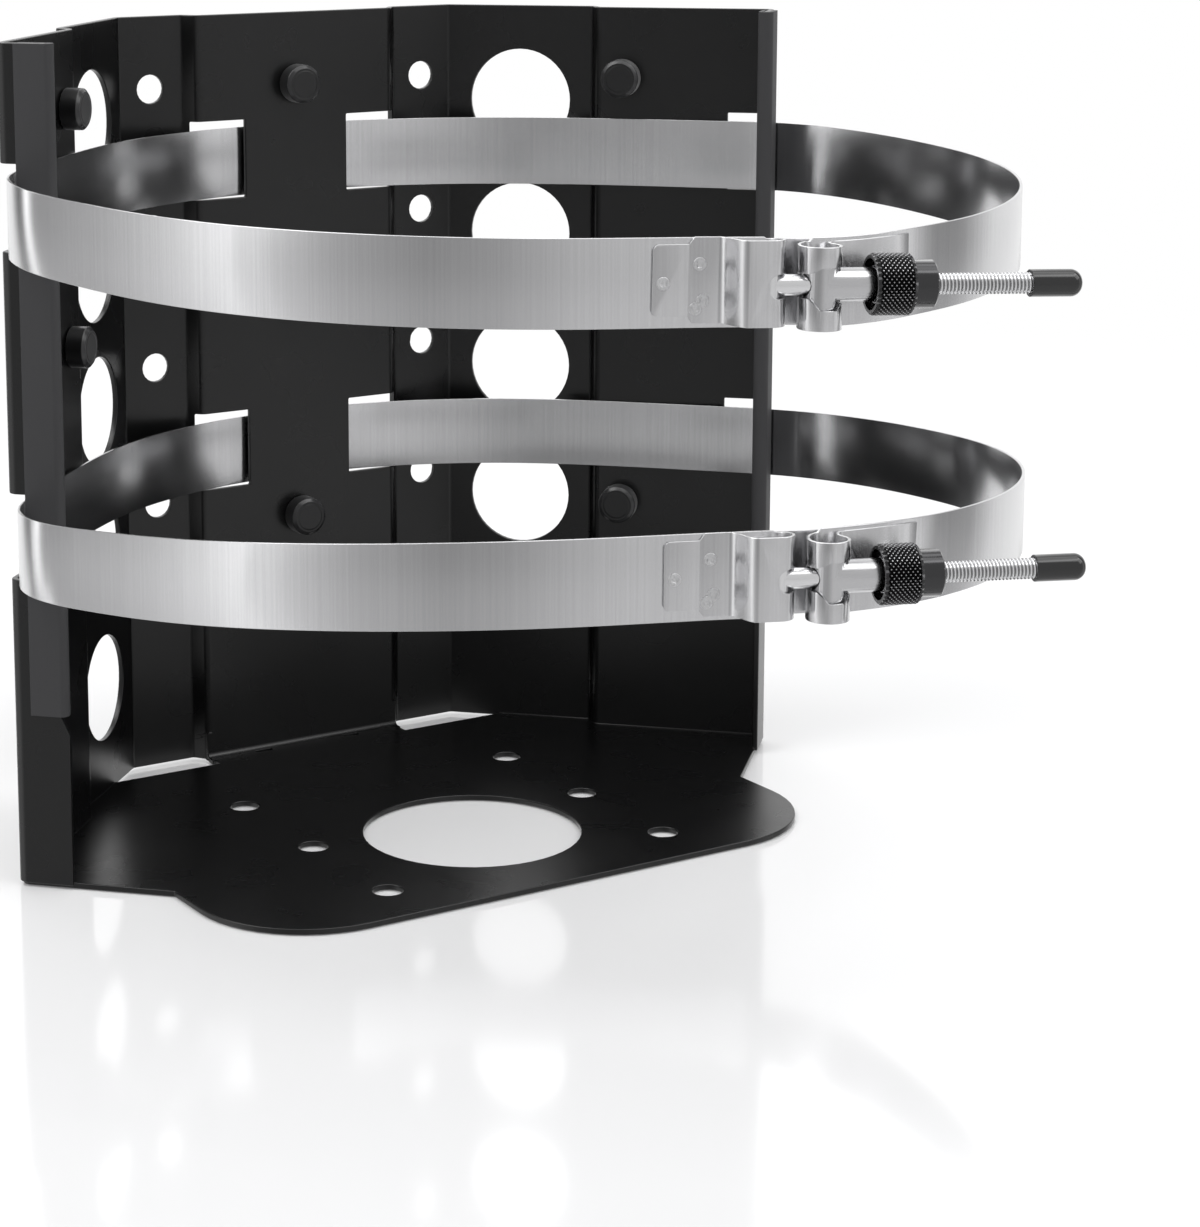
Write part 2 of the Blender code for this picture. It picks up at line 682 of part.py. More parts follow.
def tab_path(inner):
    """Folded tab on the band: rounded end, narrow part, and step to the loop."""
    layer = STRAP + LAYER_GAP
    narrow, wide = TAB_WIDTH / 2, HEAD_LOOP_WIDTH / 2
    path = []
    for k in range(7):
        angle = math.pi / 2 * k / 6
        mark = TAB_END - TAB_CORNER * (1 - math.cos(angle))
        path.append((mark, narrow - TAB_CORNER * (1 - math.sin(angle))))
    path.append((TAB_STEP, narrow))
    path.append((TAB_STEP - TAB_STEP_RUN, wide))
    path.append((RAMP_START, wide))
    return [[stretch(inner, mark, mark + TAB_CORNER, -layer)[0], half + TAB_RISE, half - TAB_RISE]
            for mark, half in path]


def head_loop_path(clamp):
    """Ramp off the tab, flat crown, turn round the T-head, and back to the band."""
    half = HEAD_LOOP_WIDTH / 2
    layer = STRAP + LAYER_GAP
    radius = HEAD_RADIUS + FIT + STRAP / 2
    crown = BOLT_STANDOFF + radius
    middle = RAMP_RUN / 2
    ramp = bezier(((-RAMP_START, layer), (-RAMP_START + middle, layer),
                   (-RAMP_START + middle, crown), (-RAMP_START + RAMP_RUN, crown)), 14)
    turn = [(radius * math.sin(k * math.pi / 20), BOLT_STANDOFF + radius * math.cos(k * math.pi / 20))
            for k in range(11)]
    path = [[clamp.at(along, out), half + TAB_RISE, half - TAB_RISE] for along, out in ramp + turn]
    for k in range(1, 10):
        angle = k * math.pi / 20
        spot = clamp.at(radius * math.cos(angle), BOLT_STANDOFF * (1 - math.sin(angle)))
        shift = TAB_RISE * (1 - k / 10)
        path.append([spot, half + shift, half - shift])
    return path


def pin_loop_path(clamp, inner):
    """Up the left of the trunnion, over it, pinched to a neck, and the welded tail."""
    half = PIN_LOOP_WIDTH / 2
    layer = STRAP + LAYER_GAP
    radius = TRUNNION_RADIUS + FIT + STRAP / 2
    rise = BOLT_STANDOFF + PIN_SET_BACK
    slope = Vector((math.cos(PIN_LEAN), -math.sin(PIN_LEAN)))
    normal = Vector((math.sin(PIN_LEAN), math.cos(PIN_LEAN)))
    foot = Vector((0.0, -rise))
    lead = foot - slope * 0.55 * radius
    leg = bezier((foot, lead, (-radius, -0.45 * rise), (-radius, 0.0)), 9)
    sweep = math.pi + NECK_TURN
    over = []
    for k in range(1, 23):
        angle = math.pi - sweep * k / 22
        over.append((radius * math.cos(angle), radius * math.sin(angle)))
    pinch = Vector(over[-1])
    across = Vector((math.cos(NECK_TURN), -math.sin(NECK_TURN)))
    bend = (pinch - foot - normal * layer).dot(normal) / (1 - across.dot(normal))
    centre = pinch + across * bend
    neck = []
    turn = math.pi / 2 + NECK_TURN - PIN_LEAN
    for k in range(1, 10):
        spoke = -across * bend
        spoke.rotate(Matrix.Rotation(turn * k / 9, 2))
        neck.append(centre + spoke)
    path = [[clamp.at(TRUNNION_AT + x, BOLT_STANDOFF + y, -PIN_SAG), half, half]
            for x, y in leg + over + neck]
    total = travelled(inner)[-1]
    start = total - (centre - foot).dot(slope)
    tail = stretch(inner, start - OUTER_TAIL, start, -layer)[::-1]
    return path + [[point, half, half] for point in tail[1:]]


def make_ribbon(name, path, thickness, mat):
    """Solid strip with upright faces along a path of (point, reach up, reach down)."""
    bm = bmesh.new()
    rings = []
    count = len(path)
    for k, (point, top, bottom) in enumerate(path):
        before, after = path[max(0, k - 1)][0], path[min(count - 1, k + 1)][0]
        if 0 < k < count - 1:
            run = ((point - before).normalized() + (after - point).normalized()).normalized()
            bend = (point - before).normalized().dot(run)
        else:
            run, bend = (after - before).normalized(), 1.0
        side = Vector((run.y, -run.x, 0)).normalized() * thickness / 2 / max(bend, 0.7)
        up = run.cross(side).normalized()
        up = up if up.z > 0 else -up
        corners = (point + side + up * top, point - side + up * top,
                   point - side - up * bottom, point + side - up * bottom)
        rings.append([bm.verts.new(c) for c in corners])
    bm.faces.new(rings[0])
    bm.faces.new(rings[-1][::-1])
    for a, b in zip(rings, rings[1:]):
        for k in range(4):
            bm.faces.new((a[k - 1], a[k], b[k], b[k - 1]))
    return add_object(name, bm, mat, 40)


def window_cutter(name, clamp, outline, low):
    """Prism over an (along, up) outline, from one distance off the band outwards."""
    bm = bmesh.new()
    high = BOLT_STANDOFF + 2 * TRUNNION_RADIUS
    rings = []
    for out in (low, high):
        rings.append([bm.verts.new(clamp.at(along, out, up)) for along, up in outline])
    bm.faces.new(rings[0])
    bm.faces.new(rings[1][::-1])
    for k in range(len(outline)):
        bm.faces.new((rings[0][k - 1], rings[0][k], rings[1][k], rings[1][k - 1]))
    return add_cutter(name, bm)


def head_slot(word, clamp):
    """Round-ended slot of the head loop, through which the shank comes out."""
    half = BOLT_RADIUS + FIT
    middle = half - HEAD_SLOT_START
    far = HEAD_RADIUS + 4 * STRAP
    outline = [(far, -half), (far, half)]
    for k in range(13):
        angle = math.pi / 2 + math.pi * k / 12
        outline.append((middle + half * math.cos(angle), half * math.sin(angle)))
    return window_cutter(word + "_head_slot", clamp, outline, BOLT_STANDOFF - half)


def shank_window(word, clamp):
    """Left part of the trunnion loop's window, as tall as the shank at first."""
    half = BOLT_RADIUS + FIT
    tall = SLEEVE_RADIUS + FIT
    near = TRUNNION_AT - TRUNNION_RADIUS
    top, bottom = tall, -tall - 2 * PIN_SAG
    outline = [(near - 3 * STRAP, half), (near + FIT, half), (TRUNNION_AT - WINDOW_FOOT, top),
               (TRUNNION_AT + FIT, top), (TRUNNION_AT + FIT, bottom),
               (TRUNNION_AT - WINDOW_FOOT, bottom), (near + FIT, -half), (near - 3 * STRAP, -half)]
    return window_cutter(word + "_shank_window", clamp, outline, BOLT_STANDOFF - half)


def sleeve_window(word, clamp):
    """Right part of the window, which lets the sleeve through."""
    tall = SLEEVE_RADIUS + FIT
    far = TRUNNION_AT + TRUNNION_RADIUS
    top, bottom = tall, -tall - 2 * PIN_SAG
    outline = [(TRUNNION_AT, top), (far + 4 * STRAP, top), (far + 4 * STRAP, -tall),
               (far, -tall), (far - WINDOW_FOOT, bottom), (TRUNNION_AT, bottom)]
    return window_cutter(word + "_sleeve_window", clamp, outline, BOLT_STANDOFF - tall)


def make_strap(word, clamp, mat):
    """Whole strap: tab, head loop, band, trunnion loop and tail, with its windows."""
    inner = band_line(clamp)
    path = tab_path(inner) + head_loop_path(clamp)
    path += [[point, STRAP_WIDTH / 2, STRAP_WIDTH / 2] for point in inner]
    path += pin_loop_path(clamp, inner)
    strap = make_ribbon(word + "_strap", path, STRAP, mat)
    combine(strap, head_slot(word, clamp), "DIFFERENCE")
    combine(strap, shank_window(word, clamp), "DIFFERENCE")
    combine(strap, sleeve_window(word, clamp), "DIFFERENCE")
    return inner


def make_tongue(word, inner, mat):
    """Bridge strip inside the band, across the gap between the two loops."""
    down = STRAP / 2 + FIT + TONGUE / 2
    total = travelled(inner)[-1]
    left = stretch(inner, 0.0, TONGUE_LEFT, down)[::-1]
    right = stretch(inner, total - TONGUE_RIGHT, total, down)[::-1]
    start = (left[-1] - left[-2]).normalized()
    end = (right[1] - right[0]).normalized()
    gap = spline([left[-1], right[0]], start, end, 0.0028)
    points = left[:-1] + gap + right[1:]
    half = TONGUE_WIDTH / 2
    make_ribbon(word + "_bridge_tongue", [[p, half, half] for p in points], TONGUE, mat)


def make_bolt(word, clamp, mat):
    """T-bolt: a round cross-head in the loop and a straight threaded shank."""
    edge = 0.12 * HEAD_RADIUS
    half = HEAD_LENGTH / 2
    head = [(0.0, half), (HEAD_RADIUS - edge, half), (HEAD_RADIUS, half - edge),
            (HEAD_RADIUS, edge - half), (HEAD_RADIUS - edge, -half), (0.0, -half)]
    bolt = turned(word + "_t_bolt", head, ROUND_MEDIUM, mat)
    shank = [(0.0, BOLT_LENGTH), (BOLT_RADIUS - edge, BOLT_LENGTH), (BOLT_RADIUS, BOLT_LENGTH - edge),
             (BOLT_RADIUS, 0.0), (0.0, 0.0)]
    rod = turned(word + "_shank", shank, ROUND_SMALL, None)
    rod.hide_render = True
    rod.display_type = "WIRE"
    base = clamp.frame @ Matrix.Translation((0, BOLT_STANDOFF, 0))
    bolt.matrix_world = base
    rod.matrix_world = base @ Matrix.Rotation(math.pi / 2, 4, "Y")
    combine(bolt, rod, "UNION")


def make_trunnion(word, clamp, mat):
    """Trunnion: an upright barrel with a bored sleeve that guides the bolt."""
    edge = 0.12 * TRUNNION_RADIUS
    half = TRUNNION_LENGTH / 2
    barrel = [(0.0, half), (TRUNNION_RADIUS - edge, half), (TRUNNION_RADIUS, half - edge),
              (TRUNNION_RADIUS, edge - half), (TRUNNION_RADIUS - edge, -half), (0.0, -half)]
    trunnion = turned(word + "_trunnion", barrel, ROUND_MEDIUM, mat)
    reach = SLEEVE_END - TRUNNION_AT
    tube = [(0.0, reach), (SLEEVE_RADIUS - edge, reach), (SLEEVE_RADIUS - edge * 0.02, reach - edge),
            (SLEEVE_RADIUS - edge * 0.02, 0.0), (0.0, 0.0)]
    sleeve = turned(word + "_sleeve", tube, ROUND_MEDIUM, None)
    bore_reach = reach + TRUNNION_RADIUS
    hole = [(0.0, bore_reach), (BOLT_RADIUS + FIT, bore_reach), (BOLT_RADIUS + FIT, -bore_reach),
            (0.0, -bore_reach)]
    bore = turned(word + "_bore", hole, ROUND_SMALL, None)
    base = clamp.frame @ Matrix.Translation((TRUNNION_AT, BOLT_STANDOFF, 0))
    trunnion.matrix_world = base
    for tool in (sleeve, bore):
        tool.hide_render = True
        tool.display_type = "WIRE"
        tool.matrix_world = base @ Matrix.Rotation(math.pi / 2, 4, "Y")
    combine(trunnion, sleeve, "UNION")
    combine(trunnion, bore, "DIFFERENCE")


def make_nut(word, clamp, mat):
    """Knurled nut with a smooth collar and a recess that takes the sleeve's end."""
    edge = 0.0006
    bore = BOLT_RADIUS + FIT
    end = NUT_LENGTH + COLLAR_LENGTH
    profile = [
        (bore, NUT_RECESS_DEPTH), (NUT_RECESS_RADIUS, NUT_RECESS_DEPTH), (NUT_RECESS_RADIUS, 0.0),
        (NUT_RADIUS - edge, 0.0), (NUT_RADIUS, edge), (NUT_RADIUS, NUT_LENGTH - edge),
        (NUT_RADIUS - edge, NUT_LENGTH), (COLLAR_RADIUS, NUT_LENGTH),
        (COLLAR_RADIUS, end - edge / 2), (COLLAR_RADIUS - edge / 2, end), (bore, end),
    ]
    nut = turned(word + "_knurled_nut", profile, ROUND_MEDIUM, mat)
    nut.matrix_world = (clamp.frame @ Matrix.Translation((NUT_AT, BOLT_STANDOFF, 0))
                        @ Matrix.Rotation(math.pi / 2, 4, "Y"))


def make_washer(word, clamp, mat):
    """Thrust washer between the sleeve's end and the floor of the nut's recess."""
    bore = BOLT_RADIUS + FIT
    profile = [(bore, 0.0), (WASHER_RADIUS, 0.0), (WASHER_RADIUS, WASHER_LENGTH), (bore, WASHER_LENGTH)]
    washer = turned(word + "_thrust_washer", profile, ROUND_MEDIUM, mat)
    start = NUT_AT + NUT_RECESS_DEPTH - FIT - WASHER_LENGTH
    washer.matrix_world = (clamp.frame @ Matrix.Translation((start, BOLT_STANDOFF, 0))
                           @ Matrix.Rotation(math.pi / 2, 4, "Y"))


def make_cap(word, clamp, mat):
    """Soft round-ended cap pushed over the free end of the bolt."""
    cavity = BOLT_RADIUS + CAP_FIT
    depth = BOLT_LENGTH - CAP_AT + FIT
    profile = [(0.0, depth), (cavity, depth), (cavity, 0.0), (CAP_RADIUS, 0.0)]
    dome = CAP_LENGTH - CAP_RADIUS * 0.8
    for k in range(7):
        angle = k / 6 * math.pi / 2
        radius = CAP_RADIUS * math.cos(angle) if k < 6 else 0.0
        profile.append((radius, dome + CAP_RADIUS * 0.8 * math.sin(angle)))
    cap = turned(word + "_bolt_cap", profile, ROUND_SMALL, mat)
    cap.matrix_world = (clamp.frame @ Matrix.Translation((CAP_AT, BOLT_STANDOFF, 0))
                        @ Matrix.Rotation(math.pi / 2, 4, "Y"))


def build():
    black_coat = material("black_coat", (0.022, 0.022, 0.023), 0.38, 0.0)
    grey_rubber = material("grey_rubber", (0.060, 0.060, 0.062), 0.75, 0.0)
    black_rubber = material("black_rubber", (0.030, 0.030, 0.031), 0.60, 0.0)
    stainless = material("stainless", (0.62, 0.62, 0.63), 0.30, 1.0)
    plated = material("plated_steel", (0.72, 0.72, 0.73), 0.22, 1.0)
    black_metal = material("black_metal", (0.030, 0.030, 0.032), 0.30, 0.6)
    vinyl = material("black_vinyl", (0.018, 0.018, 0.019), 0.25, 0.0)
    make_shell(black_coat)
    make_trims(grey_rubber)
    make_bumpers(black_rubber)
    bands = {"upper": Clamp(SLOT_UPPER_Z, -0.0024, -0.018, -0.0016),
             "lower": Clamp(SLOT_LOWER_Z, 0.0155, -0.045, 0.0020)}
    for word, clamp in bands.items():
        inner = make_strap(word, clamp, stainless)
        make_tongue(word, inner, stainless)
        make_bolt(word, clamp, plated)
        make_trunnion(word, clamp, stainless)
        make_washer(word, clamp, black_rubber)
        make_nut(word, clamp, black_metal)
        make_cap(word, clamp, vinyl)


build()
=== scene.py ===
# Gas cylinder bracket: looks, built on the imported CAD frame.

import json
import math

import bpy
from mathutils import Matrix, Vector


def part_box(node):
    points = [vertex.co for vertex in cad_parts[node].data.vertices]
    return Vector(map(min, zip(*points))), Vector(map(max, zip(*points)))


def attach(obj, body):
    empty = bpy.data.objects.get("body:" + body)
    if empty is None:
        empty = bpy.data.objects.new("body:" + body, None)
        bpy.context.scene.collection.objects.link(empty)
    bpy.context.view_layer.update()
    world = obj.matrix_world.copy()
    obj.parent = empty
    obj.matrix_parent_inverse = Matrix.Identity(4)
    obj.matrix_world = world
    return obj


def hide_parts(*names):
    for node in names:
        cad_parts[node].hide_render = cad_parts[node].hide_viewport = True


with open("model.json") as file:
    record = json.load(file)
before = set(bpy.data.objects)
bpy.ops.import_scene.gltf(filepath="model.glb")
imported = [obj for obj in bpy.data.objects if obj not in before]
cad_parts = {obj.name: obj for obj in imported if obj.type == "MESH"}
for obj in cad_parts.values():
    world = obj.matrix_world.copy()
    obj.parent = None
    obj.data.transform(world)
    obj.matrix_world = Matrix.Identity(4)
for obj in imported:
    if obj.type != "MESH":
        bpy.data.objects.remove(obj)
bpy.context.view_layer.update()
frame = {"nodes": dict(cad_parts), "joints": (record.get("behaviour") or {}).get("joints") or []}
nodes = frame["nodes"]

# Camera
# A long lens a little above the bracket and to its left, as the photograph was taken.
# The lens is shifted so that the bracket fills the upper left of a tall frame.
EYE = Vector((-0.3976, -0.6184, 0.2610))
TURN = math.radians(-31.28)
DIP = math.radians(9.86)
ROLL = math.radians(-0.17)
SENSOR = 36.0
PICTURE_HEIGHT = 1227.0
LENS_PIXELS = 3041.4
SHIFT_PIXELS = (145.3, -266.4)
NEAREST = 0.01
back = Vector((math.sin(TURN) * math.cos(DIP), -math.cos(TURN) * math.cos(DIP), math.sin(DIP)))
level = Vector((math.cos(TURN), math.sin(TURN), 0))
upright = back.cross(level)
right = level * math.cos(ROLL) + upright * math.sin(ROLL)
top = upright * math.cos(ROLL) - level * math.sin(ROLL)
camera = bpy.data.objects.new("camera", bpy.data.cameras.new("camera"))
bpy.context.scene.collection.objects.link(camera)
camera.matrix_world = Matrix.Translation(EYE) @ Matrix((right, top, back)).transposed().to_4x4()
camera.data.sensor_width = SENSOR
camera.data.lens = SENSOR * LENS_PIXELS / PICTURE_HEIGHT
camera.data.shift_x = SHIFT_PIXELS[0] / PICTURE_HEIGHT
camera.data.shift_y = SHIFT_PIXELS[1] / PICTURE_HEIGHT
camera.data.clip_start = NEAREST
bpy.context.scene.camera = camera

# Studio
# A white surround with darker panels between its lights, which give the steel its streaks,
# four soft boxes overhead and behind, and a pale, faintly glossy floor that fades to white
# and lets polished metal see the same panels below the horizon.
WHITE = (1.0, 1.0, 1.0, 1.0)
FILL_GREY = (0.42, 0.42, 0.43, 1.0)
# Each panel's place round the horizon, as a share of one turn, and its brightness.
PANELS = ((0.00, 0.80), (0.05, 0.52), (0.12, 0.36), (0.16, 0.42), (0.24, 0.70), (0.34, 0.65),
          (0.37, 0.60), (0.40, 0.80), (0.43, 1.00), (0.465, 0.35), (0.50, 0.35), (0.54, 1.00),
          (0.75, 1.10), (0.768, 0.05), (0.783, 0.05), (0.786, 2.40), (0.793, 2.40),
          (0.797, 0.35), (0.83, 0.45), (0.92, 1.00), (0.968, 1.40), (0.975, 1.00))
bpy.context.scene.view_settings.view_transform = "Standard"
world = bpy.data.worlds.new("studio")
bpy.context.scene.world = world
world.use_nodes = True
tree = world.node_tree
tree.nodes.clear()
out = tree.nodes.new("ShaderNodeOutputWorld")
coords = tree.nodes.new("ShaderNodeTexCoord")
split = tree.nodes.new("ShaderNodeSeparateXYZ")
azimuth = tree.nodes.new("ShaderNodeMath")
azimuth.operation = "ARCTAN2"
turns = tree.nodes.new("ShaderNodeMath")
turns.operation = "MULTIPLY_ADD"
turns.inputs[1].default_value = 0.5 / math.pi
turns.inputs[2].default_value = 0.5
panels = tree.nodes.new("ShaderNodeValToRGB")
tree.links.new(coords.outputs["Generated"], split.inputs[0])
tree.links.new(split.outputs["Y"], azimuth.inputs[0])
tree.links.new(split.outputs["X"], azimuth.inputs[1])
tree.links.new(azimuth.outputs[0], turns.inputs[0])
tree.links.new(turns.outputs[0], panels.inputs[0])
while len(panels.color_ramp.elements) < len(PANELS):
    panels.color_ramp.elements.new(0.5)
for element, (place, value) in zip(panels.color_ramp.elements, PANELS):
    element.position = place
    element.color = (value, value, value, 1.0)
path = tree.nodes.new("ShaderNodeLightPath")
seen = tree.nodes.new("ShaderNodeMix")
seen.data_type = "RGBA"
seen.inputs["A"].default_value = FILL_GREY
tree.links.new(path.outputs["Is Glossy Ray"], seen.inputs["Factor"])
tree.links.new(panels.outputs["Color"], seen.inputs["B"])
plain = tree.nodes.new("ShaderNodeMath")
plain.operation = "MAXIMUM"
tree.links.new(path.outputs["Is Camera Ray"], plain.inputs[0])
tree.links.new(path.outputs["Is Transmission Ray"], plain.inputs[1])
white = tree.nodes.new("ShaderNodeMix")
white.data_type = "RGBA"
white.inputs["B"].default_value = WHITE
tree.links.new(plain.outputs[0], white.inputs["Factor"])
tree.links.new(seen.outputs["Result"], white.inputs["A"])
glow = tree.nodes.new("ShaderNodeBackground")
tree.links.new(white.outputs["Result"], glow.inputs["Color"])
tree.links.new(glow.outputs[0], out.inputs[0])


def soft_box(name, place, aim, size, power):
    """Rectangular soft light turned to face a point."""
    lamp = bpy.data.objects.new(name, bpy.data.lights.new(name, "AREA"))
    bpy.context.scene.collection.objects.link(lamp)
    lamp.data.shape = "RECTANGLE"
    lamp.data.size = size[0]
    lamp.data.size_y = size[1]
    lamp.data.energy = power
    lamp.location = place
    lamp.rotation_euler = (Vector(aim) - Vector(place)).to_track_quat("-Z", "Y").to_euler()


MIDDLE = (0.0, 0.0, 0.10)
soft_box("left_box", (-0.95, 0.25, 1.25), MIDDLE, size=(1.0, 1.0), power=9.0)
soft_box("right_box", (0.75, -0.80, 1.15), MIDDLE, size=(1.0, 1.0), power=5.0)
soft_box("top_box", (0.1, -0.2, 1.3), MIDDLE, size=(1.2, 1.2), power=6.0)
soft_box("back_box", (0.35, 0.9, 0.9), MIDDLE, size=(1.2, 0.8), power=3.0)

FLOOR_SIZE = 8.0
FLOOR_DROP = 0.0002
FLOOR_COLOUR = (0.86, 0.86, 0.86, 1.0)
FLOOR_ROUGHNESS = 0.09
FLOOR_LIFT = 0.10
FADE_START = 0.35
FADE_END = 0.90
CLEAR_TO_METAL = 0.75
bpy.ops.object.select_all(action="DESELECT")
bpy.ops.mesh.primitive_plane_add(size=FLOOR_SIZE, location=(0, 0, -FLOOR_DROP))
floor = bpy.context.object
floor.name = "floor"
pale = bpy.data.materials.new("pale_floor")
pale.use_nodes = True
tree = pale.node_tree
shader = tree.nodes["Principled BSDF"]
shader.inputs["Base Color"].default_value = FLOOR_COLOUR
shader.inputs["Roughness"].default_value = FLOOR_ROUGHNESS
lift = tree.nodes.new("ShaderNodeEmission")
lift.inputs["Strength"].default_value = FLOOR_LIFT
near = tree.nodes.new("ShaderNodeAddShader")
tree.links.new(shader.outputs[0], near.inputs[0])
tree.links.new(lift.outputs[0], near.inputs[1])
far = tree.nodes.new("ShaderNodeEmission")
coords = tree.nodes.new("ShaderNodeTexCoord")
reach = tree.nodes.new("ShaderNodeVectorMath")
reach.operation = "LENGTH"
fade = tree.nodes.new("ShaderNodeMapRange")
fade.inputs["From Min"].default_value = FADE_START
fade.inputs["From Max"].default_value = FADE_END
tree.links.new(coords.outputs["Object"], reach.inputs[0])
tree.links.new(reach.outputs["Value"], fade.inputs["Value"])
ground = tree.nodes.new("ShaderNodeMixShader")
tree.links.new(fade.outputs["Result"], ground.inputs[0])
tree.links.new(near.outputs[0], ground.inputs[1])
tree.links.new(far.outputs[0], ground.inputs[2])
path = tree.nodes.new("ShaderNodeLightPath")
seen = tree.nodes.new("ShaderNodeMixShader")
tree.links.new(path.outputs["Is Camera Ray"], seen.inputs[0])
tree.links.new(shader.outputs[0], seen.inputs[1])
tree.links.new(ground.outputs[0], seen.inputs[2])
mirrored = tree.nodes.new("ShaderNodeMath")
mirrored.operation = "MULTIPLY"
mirrored.inputs[1].default_value = CLEAR_TO_METAL
tree.links.new(path.outputs["Is Glossy Ray"], mirrored.inputs[0])
clear = tree.nodes.new("ShaderNodeBsdfTransparent")
whole = tree.nodes.new("ShaderNodeMixShader")
tree.links.new(mirrored.outputs[0], whole.inputs[0])
tree.links.new(seen.outputs[0], whole.inputs[1])
tree.links.new(clear.outputs[0], whole.inputs[2])
tree.links.new(whole.outputs[0], tree.nodes["Material Output"].inputs["Surface"])
floor.data.materials.append(pale)

# Folded back and base
# One steel sheet, laser cut, folded on a brake and welded where the base meets the wings.
# Its powder coat is semi-gloss black with a faint orange peel and softens every cut edge.
COAT_EDGE = 0.0003
DOUBLE = 0.000002
SAME_PLANE = math.radians(0.5)
NOISE_RANGE = (0.3, 0.7)


def take_copy(node, name, body):
    """Own copy of a CAD piece with its loose triangles joined into flat faces."""
    piece = bpy.data.objects.new(name, nodes[node].data.copy())
    bpy.context.scene.collection.objects.link(piece)
    bpy.ops.object.select_all(action="DESELECT")
    piece.select_set(True)
    bpy.context.view_layer.objects.active = piece
    bpy.ops.object.mode_set(mode="EDIT")
    bpy.ops.mesh.select_all(action="SELECT")
    bpy.ops.mesh.remove_doubles(threshold=DOUBLE)
    bpy.ops.mesh.dissolve_limited(angle_limit=SAME_PLANE)
    bpy.ops.object.mode_set(mode="OBJECT")
    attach(piece, body)
    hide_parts(node)
    return piece


def soften(piece, width, angle=35, segments=2, flat_faces=True):
    """Rounded edges and smooth shading, as a coat or a tumbled finish leaves them."""
    bpy.ops.object.select_all(action="DESELECT")
    piece.select_set(True)
    bpy.context.view_layer.objects.active = piece
    if width:
        bevel = piece.modifiers.new("soft_edges", "BEVEL")
        bevel.width = width
        bevel.segments = segments
        bevel.limit_method = "ANGLE"
        bevel.angle_limit = math.radians(angle)
        bevel.use_clamp_overlap = False
        bevel.miter_outer = "MITER_ARC"
        bpy.ops.object.modifier_apply(modifier="soft_edges")
    bpy.ops.object.shade_smooth_by_angle(angle=math.radians(angle))
    if flat_faces:
        level_faces = piece.modifiers.new("level_faces", "WEIGHTED_NORMAL")
        level_faces.weight = 100
        level_faces.keep_sharp = True
        bpy.ops.object.modifier_apply(modifier="level_faces")


def surface(name, colour, roughness, metallic=0.0):
    """New material, its shader and its node tree."""
    mat = bpy.data.materials.new(name)
    mat.use_nodes = True
    shader = mat.node_tree.nodes["Principled BSDF"]
    shader.inputs["Base Color"].default_value = (*colour, 1.0)
    shader.inputs["Roughness"].default_value = roughness
    shader.inputs["Metallic"].default_value = metallic
    return mat, shader, mat.node_tree


def grain(tree, scale, stretch=(1, 1, 1), detail=2.0):
    """Noise in the piece's own coordinates, stretched along an axis."""
    coords = tree.nodes.new("ShaderNodeTexCoord")
    place = tree.nodes.new("ShaderNodeMapping")
    place.inputs["Scale"].default_value = stretch
    noise = tree.nodes.new("ShaderNodeTexNoise")
    noise.inputs["Scale"].default_value = scale
    noise.inputs["Detail"].default_value = detail
    tree.links.new(coords.outputs["Object"], place.inputs["Vector"])
    tree.links.new(place.outputs["Vector"], noise.inputs["Vector"])
    return noise.outputs["Fac"]


def spread(tree, value, low, high):
    """A noise value brought into a range."""
    step = tree.nodes.new("ShaderNodeMapRange")
    step.inputs["From Min"].default_value = NOISE_RANGE[0]
    step.inputs["From Max"].default_value = NOISE_RANGE[1]
    step.inputs["To Min"].default_value = low
    step.inputs["To Max"].default_value = high
    tree.links.new(value, step.inputs["Value"])
    return step.outputs["Result"]


def relief(tree, shader, value, strength, depth):
    """Fine surface relief from a noise value."""
    bump = tree.nodes.new("ShaderNodeBump")
    bump.inputs["Strength"].default_value = strength
    bump.inputs["Distance"].default_value = depth
    tree.links.new(value, bump.inputs["Height"])
    tree.links.new(bump.outputs["Normal"], shader.inputs["Normal"])


def dress(piece, mat):
    """Gives a piece its one material."""
    piece.data.materials.clear()
    piece.data.materials.append(mat)


def pick_verts(piece, test):
    """In edit mode, selects the vertices whose place passes a test."""
    bpy.ops.mesh.select_all(action="DESELECT")
    bpy.ops.mesh.select_mode(type="VERT")
    bpy.ops.object.mode_set(mode="OBJECT")
    for vert in piece.data.vertices:
        vert.select = test(vert.co)
    bpy.ops.object.mode_set(mode="EDIT")


coat, shader, tree = surface("powder_coat", (0.0022, 0.0022, 0.0024), roughness=0.28)
mottle = spread(tree, grain(tree, scale=60.0), low=0.26, high=0.31)
tree.links.new(mottle, shader.inputs["Roughness"])
relief(tree, shader, grain(tree, scale=2600.0, detail=3.0), strength=0.10, depth=0.0002)
shell = take_copy("bracket_shell", "folded_back", "bracket")
soften(shell, COAT_EDGE)
# The rounding of the base's sharpest corners is pressed back up to the sheet's underside.
bpy.ops.object.mode_set(mode="EDIT")
pick_verts(shell, lambda co: co.z < 0)
bpy.ops.transform.resize(value=(1, 1, 0), center_override=(0, 0, 0))
bpy.ops.object.mode_set(mode="OBJECT")
dress(shell, coat)

